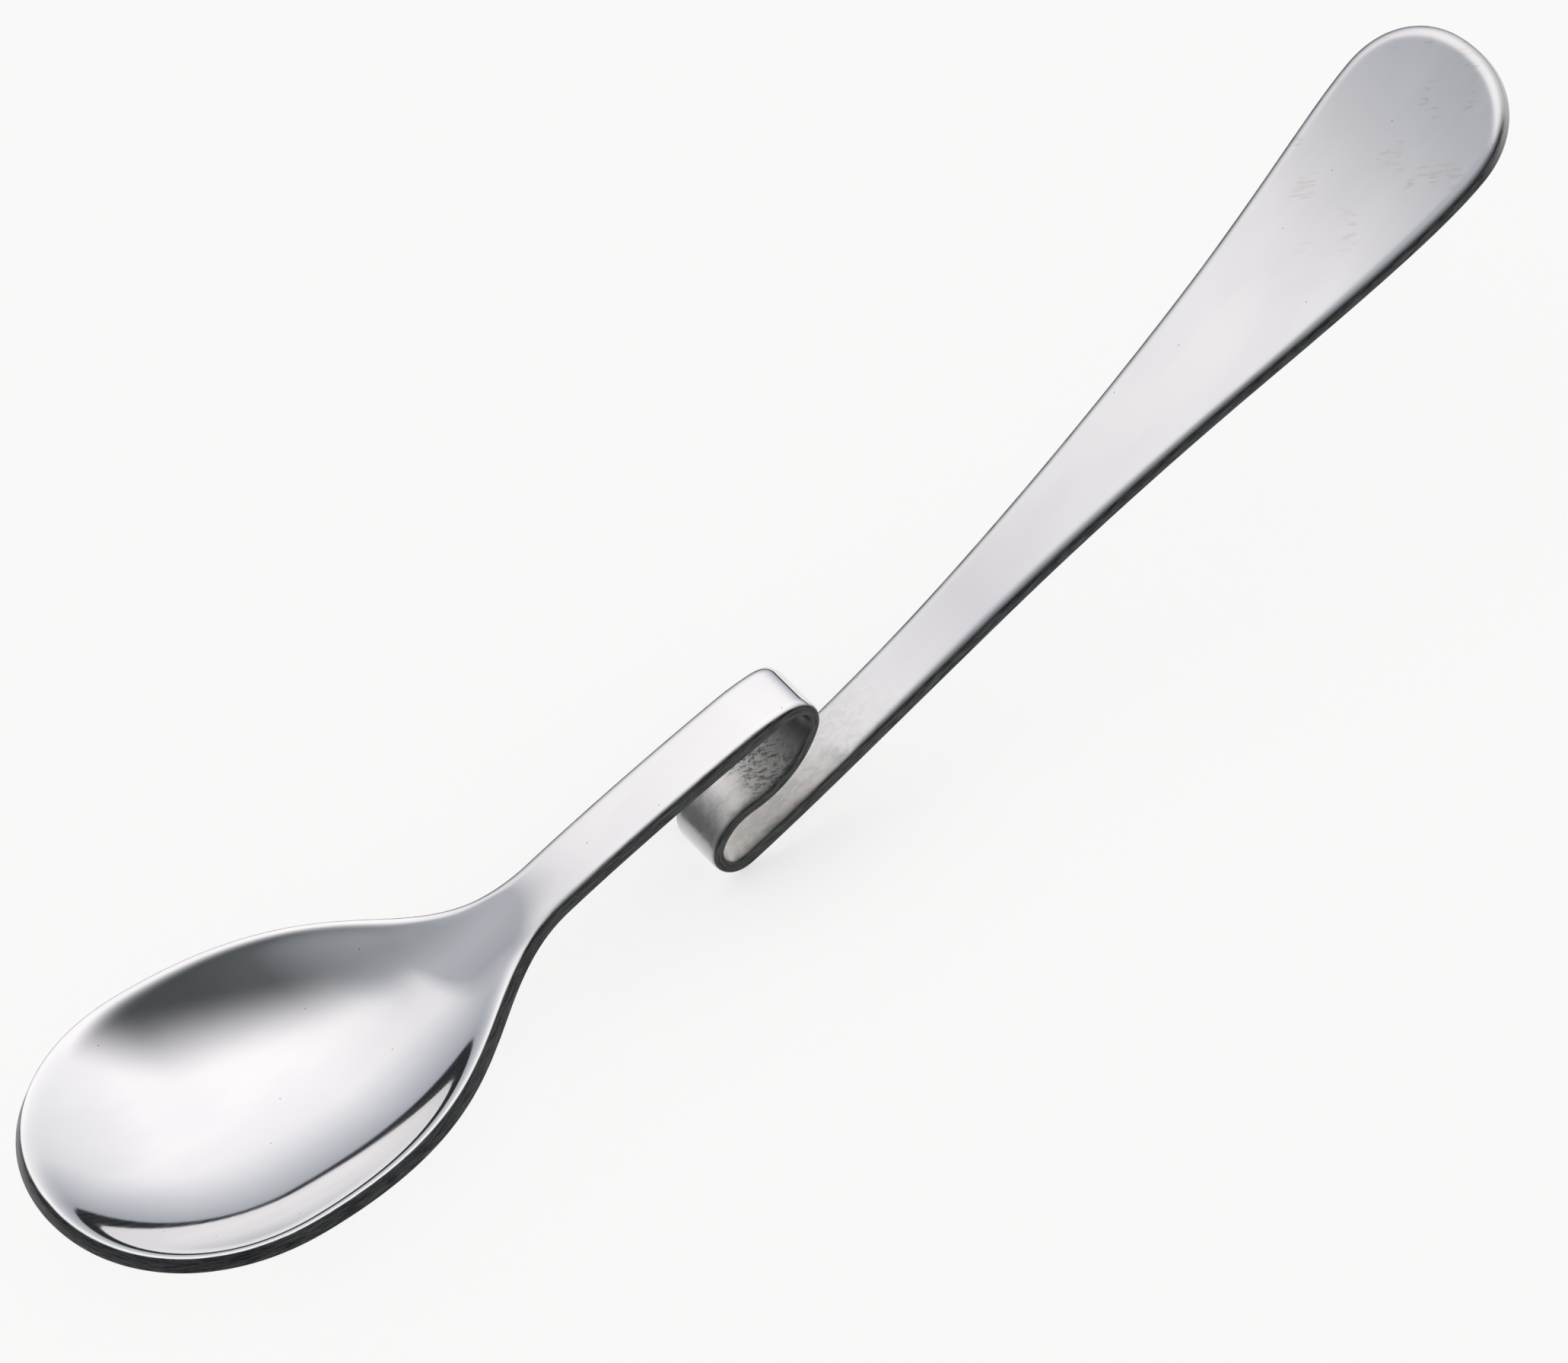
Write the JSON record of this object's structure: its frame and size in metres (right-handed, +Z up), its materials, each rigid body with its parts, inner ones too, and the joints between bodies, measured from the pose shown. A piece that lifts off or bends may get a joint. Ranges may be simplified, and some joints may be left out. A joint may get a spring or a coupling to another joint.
{
  "type": "jam spoon",
  "caption": "Polished steel jam spoon: oval bowl, narrow shank folded into a hook that hangs on a jar rim, and a flared handle.",
  "frame": {"origin": "on the table, under the middle of the spoon's box, as it lies on the underside of its bowl and the lower bend of its hook", "axes": "+X from the bowl to the end of the handle, +Y across the spoon, +Z up out of the bowl"},
  "size_m": [0.1684, 0.0408, 0.0357],
  "materials": {
    "polished_steel": "mirror polished stainless steel, left dull inside the hook"
  },
  "bodies": {
    "root": {"jam_spoon": "polished_steel"}
  },
  "joints": []
}
